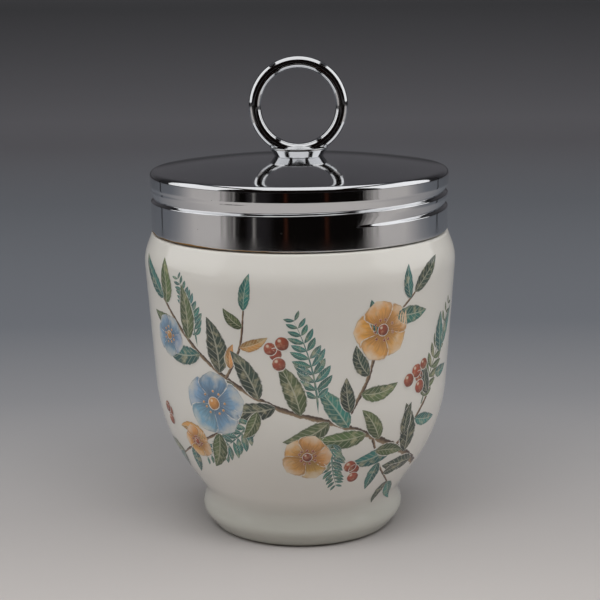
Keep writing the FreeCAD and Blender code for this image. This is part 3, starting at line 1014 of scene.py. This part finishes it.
def paper_sweep(material):
    """Seamless paper: flat under the object, then curved up into a wall behind it."""
    bend_y, bend_r, top = 0.8, 0.4, 1.6
    profile = [(-PAPER_REACH, 0.0), (-3.0, 0.0), (-0.5, 0.0), (bend_y, 0.0)]
    for a in range(5, 91, 5):
        profile.append((bend_y + bend_r * math.sin(math.radians(a)),
                        bend_r - bend_r * math.cos(math.radians(a))))
    profile.append((bend_y + bend_r, top))
    deselect()
    bpy.ops.mesh.primitive_grid_add(x_subdivisions=1, y_subdivisions=len(profile) - 1, size=1.0)
    paper = named("paper_sweep")
    for vertex in paper.data.vertices:
        row = round((vertex.co.y + 0.5) * (len(profile) - 1))
        vertex.co = (math.copysign(PAPER_REACH, vertex.co.x), *profile[row])
    paper.data.update()
    bpy.ops.object.shade_smooth()
    paper.data.materials.append(material)


def card(name, corners, material):
    """A flat card from its corners, in metres, that is seen in reflections only."""
    deselect()
    bpy.ops.mesh.primitive_circle_add(vertices=len(corners), radius=0.1, fill_type="NGON")
    obj = named(name)
    for vertex, corner in zip(obj.data.vertices, corners):
        vertex.co = corner
    obj.data.update()
    obj.data.materials.append(material)
    obj.visible_camera = obj.visible_diffuse = obj.visible_shadow = False


def softbox(name, place, target, width, depth, watts):
    """A rectangular softbox that faces a point, unseen by the camera itself."""
    deselect()
    bpy.ops.object.light_add(type="AREA", location=place)
    lamp = bpy.context.object
    lamp.name = name
    lamp.data.shape = "RECTANGLE"
    lamp.data.size, lamp.data.size_y = width, depth
    lamp.data.energy = watts
    lamp.rotation_euler = (Vector(target) - Vector(place)).to_track_quat("-Z", "Y").to_euler()
    lamp.visible_camera = False
    return lamp


def black_felt():
    """Black felt on the flag that darkens what the plating mirrors. A few worn stripes run
    outwards on it, brown and grey, and it thins out at its sides."""
    material, tree, place = material_tree("black_felt")
    x, y, _ = add(tree, "SeparateXYZ", place).outputs
    ahead = add(tree, "Math", y, -1.0, operation="MULTIPLY")
    bearing = add(tree, "Math", x, ahead, operation="ARCTAN2")
    black, grey, brown = srgb("#0B0908"), srgb("#242223"), srgb("#3A1E14")
    stripes = add(tree, "ValToRGB", add(tree, "MapRange", bearing, -1.2, 1.2), stops=[
        (0.21, black), (0.235, grey), (0.25, grey), (0.26, srgb("#A09C98")), (0.27, grey),
        (0.32, grey), (0.37, black), (0.415, black), (0.43, brown), (0.44, black), (0.63, black),
        (0.642, brown), (0.655, black)])
    streak = add(tree, "TexNoise", bearing, 22.0, 3.0, noise_dimensions="1D")
    side = add(tree, "Math", bearing, operation="ABSOLUTE")
    frayed = add(tree, "Math", streak, 0.35, side, operation="MULTIPLY_ADD")
    add(tree, "OutputMaterial", add(
        tree, "MixShader", add(tree, "MapRange", frayed, 0.98, 1.24),
        add(tree, "BsdfDiffuse", stripes), add(tree, "BsdfTransparent")))
    return material


def grey_tape():
    """Dull grey tape, a thin upright line in what the plating mirrors at each side."""
    material, tree, _ = material_tree("grey_tape")
    add(tree, "OutputMaterial", add(tree, "BsdfDiffuse", srgb("#1C1C1E")))
    return material


def seamless_paper(stage):
    """Matt seamless paper with painted light: pale near the object and graded to dark grey up its
    sweep.
    """
    material, tree, place = material_tree("seamless_paper")
    _, y, z = add(tree, "SeparateXYZ", place).outputs
    run = add(tree, "Math", y, z, operation="ADD")
    reach = add(tree, "MapRange", run, -0.1, 1.9)
    # painted light: on top of the lamps' own falloff, the paper's colour is graded from pale round
    # the object to grey away from it and up the sweep, a painted pool of light, with a darker
    # painted band near the top
    graded = [tuple(n + (f - n) * k for n, f in zip(stage.near, stage.far))
              for k in (0.0, 0.36, 0.76, 1.0)]
    fall = add(tree, "ValToRGB", reach, stops=[
        *zip((0.025, 0.06, 0.1, 0.15), graded), (0.3, stage.far), (0.45, stage.sweep),
        (0.5, stage.sweep), (0.63, stage.top), (0.72, stage.sweep)])
    add(tree, "OutputMaterial", add(tree, "BsdfDiffuse", fall))
    return material


class CODDLER_OT_stage(bpy.types.Operator):
    """Lays the paper, hangs the softboxes and flags, lights the room and sets the camera"""
    bl_idname = "coddler.stage"
    bl_label = "Stage"
    bl_options = {"REGISTER", "UNDO"}

    def execute(self, context):
        stage = context.scene.coddler_stage
        paper_sweep(seamless_paper(stage))

        def round_at(reach, degrees):
            a = math.radians(degrees)
            return reach * math.sin(a), -reach * math.cos(a)

        # a fan of felt lies just above the paper, from near the foot to well past the camera
        fan = [(*round_at(0.15, a), 0.004) for a in range(-66, 67, 6)]
        fan += [(*round_at(1.4, a), 0.004) for a in range(66, -67, -6)]
        card("front_flag", fan, black_felt())
        tape = grey_tape()
        for side in (-1.0, 1.0):
            a, b = round_at(0.34, side * 125.0), round_at(0.34, side * 126.8)
            card("side_tape", [(*a, 0.0), (*b, 0.0), (*b, 0.6), (*a, 0.6)], tape)
        softbox("overhead_softbox", (0.0, -0.14, 0.75), (0.0, -0.14, 0.0), 0.74, 0.95,
                stage.overhead_power)
        for side, strength in ((-1.0, 0.9), (1.0, 0.95)):
            softbox("side_softbox", (side * 0.85, -0.02, 0.5), (0.0, 0.0, 0.08), 1.0, 0.9,
                    stage.side_power * strength)
        fill = softbox("front_fill", (0.0, -0.53, 1.02), (0.0, 0.0, 0.04), 1.2, 0.4,
                       stage.fill_power)
        fill.visible_glossy = False

        world = bpy.data.worlds.new("dark_room")
        context.scene.world = world
        world.use_nodes = True
        tree = world.node_tree
        tree.nodes.clear()
        toward = add(tree, "SeparateXYZ", add(tree, "TexCoord").outputs["Generated"])
        behind = add(tree, "MapRange", toward.outputs["Y"], -0.1, 0.45)
        room = add(tree, "Mix", behind, srgb("#0E0A09"), srgb("#54555A"), data_type="RGBA")
        seen = add(tree, "LightPath").outputs["Is Camera Ray"]
        room = add(tree, "Mix", seen, room, srgb("#36373A"), data_type="RGBA")
        add(tree, "OutputWorld", add(tree, "Background", room, 1.0))

        deselect()
        bpy.ops.object.camera_add()
        camera = bpy.context.object
        camera.data.lens = stage.lens
        camera.data.sensor_width = 36.0
        camera.data.clip_start, camera.data.clip_end = 0.02, 20.0
        below_level, roll = 12.08, -0.63
        camera.matrix_world = (
            Matrix.Translation((-0.0001, -0.3325, 0.1224))
            @ Matrix.Rotation(math.radians(90.0 - below_level), 4, "X")
            @ Matrix.Rotation(math.radians(roll), 4, "Z"))
        context.scene.camera = camera
        context.scene.view_settings.view_transform = "Standard"
        return {"FINISHED"}


class CODDLER_PT_pieces(bpy.types.Panel):
    """Lists the pieces and the stage in the order they are made"""
    bl_idname = "CODDLER_PT_pieces"
    bl_label = "Egg coddler"
    bl_space_type = "VIEW_3D"
    bl_region_type = "UI"
    bl_category = "Coddler"

    def draw(self, context):
        for name, operators in GROUPS.items():
            box = self.layout.box()
            settings = getattr(context.scene, name)
            for key in settings.bl_rna.properties.keys():
                if key not in ("rna_type", "name"):
                    box.prop(settings, key)
            for operator in operators:
                box.operator(operator)


# settings on the scene, and the operators that each group lists, in the order they are made
GROUPS = {
    "coddler_cup": ("coddler.cup",),
    "coddler_lid": ("coddler.lid", "coddler.washers"),
    "coddler_ring": ("coddler.ring",),
    "coddler_print": ("coddler.spray",),
    "coddler_stage": ("coddler.stage",),
}
CLASSES = (
    CupSettings, LidSettings, RingSettings, PrintSettings, StageSettings, CODDLER_OT_cup,
    CODDLER_OT_lid, CODDLER_OT_ring, CODDLER_OT_washers, CODDLER_OT_spray, CODDLER_OT_stage,
    CODDLER_PT_pieces,
)


def register():
    for cls in CLASSES:
        bpy.utils.register_class(cls)
    for name, settings in zip(GROUPS, CLASSES):
        setattr(bpy.types.Scene, name, PointerProperty(type=settings))


def unregister():
    for name in GROUPS:
        delattr(bpy.types.Scene, name)
    for cls in reversed(CLASSES):
        bpy.utils.unregister_class(cls)


def main():
    register()
    for operators in GROUPS.values():
        for operator in operators:
            group, name = operator.split(".")
            getattr(getattr(bpy.ops, group), name)()


if __name__ == "__main__":
    main()
